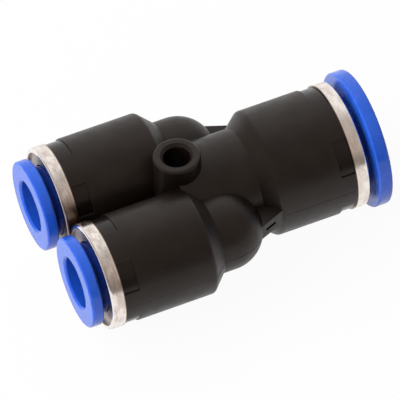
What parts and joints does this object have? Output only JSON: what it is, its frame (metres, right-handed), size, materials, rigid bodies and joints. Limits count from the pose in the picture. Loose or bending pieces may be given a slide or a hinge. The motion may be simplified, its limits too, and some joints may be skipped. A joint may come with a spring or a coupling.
{
  "type": "push-in tube reducer y",
  "caption": "Push-in Y reducer for plastic tube: one large port splits into two parallel small ports, with release collars and a screw boss.",
  "frame": {"origin": "centre of the mounting hole, halfway up the boss", "axes": "+X out of the large port, +Z along the mounting hole, +Y towards the left small port; the small ports point along -X"},
  "size_m": [0.0395, 0.0262, 0.0164],
  "materials": {
    "black_body": "satin moulded glass-filled plastic",
    "blue_collar": "smooth moulded acetal",
    "nickel_plate": "turned brass, nickel plated",
    "spring_steel": "stamped stainless spring steel",
    "natural_plastic": "moulded acetal, natural colour",
    "seal_rubber": "moulded nitrile rubber"
  },
  "bodies": {
    "housing": {"body": "black_body", "large_mouth_ring": "nickel_plate", "large_grab_ring": "spring_steel", "large_backup_ring": "natural_plastic", "large_seal": "seal_rubber", "left_mouth_ring": "nickel_plate", "left_grab_ring": "spring_steel", "left_backup_ring": "natural_plastic", "left_seal": "seal_rubber", "right_mouth_ring": "nickel_plate", "right_grab_ring": "spring_steel", "right_backup_ring": "natural_plastic", "right_seal": "seal_rubber"},
    "large_collar": {"large_release_collar": "blue_collar"},
    "left_collar": {"left_release_collar": "blue_collar"},
    "right_collar": {"right_release_collar": "blue_collar"}
  },
  "joints": [
    {"name": "large_collar_press", "type": "slide", "parent": "housing", "child": "large_collar", "axis": [-1, 0, 0], "range_m": [0, 0.0008], "stiffness_N_per_m": 400, "springref_m": -0.0005, "deforming": ["large_grab_ring"]},
    {"name": "left_collar_press", "type": "slide", "parent": "housing", "child": "left_collar", "axis": [1, 0, 0], "range_m": [0, 0.0008], "stiffness_N_per_m": 400, "springref_m": -0.0005, "deforming": ["left_grab_ring"]},
    {"name": "right_collar_press", "type": "slide", "parent": "housing", "child": "right_collar", "axis": [1, 0, 0], "range_m": [0, 0.0008], "stiffness_N_per_m": 400, "springref_m": -0.0005, "deforming": ["right_grab_ring"]}
  ]
}
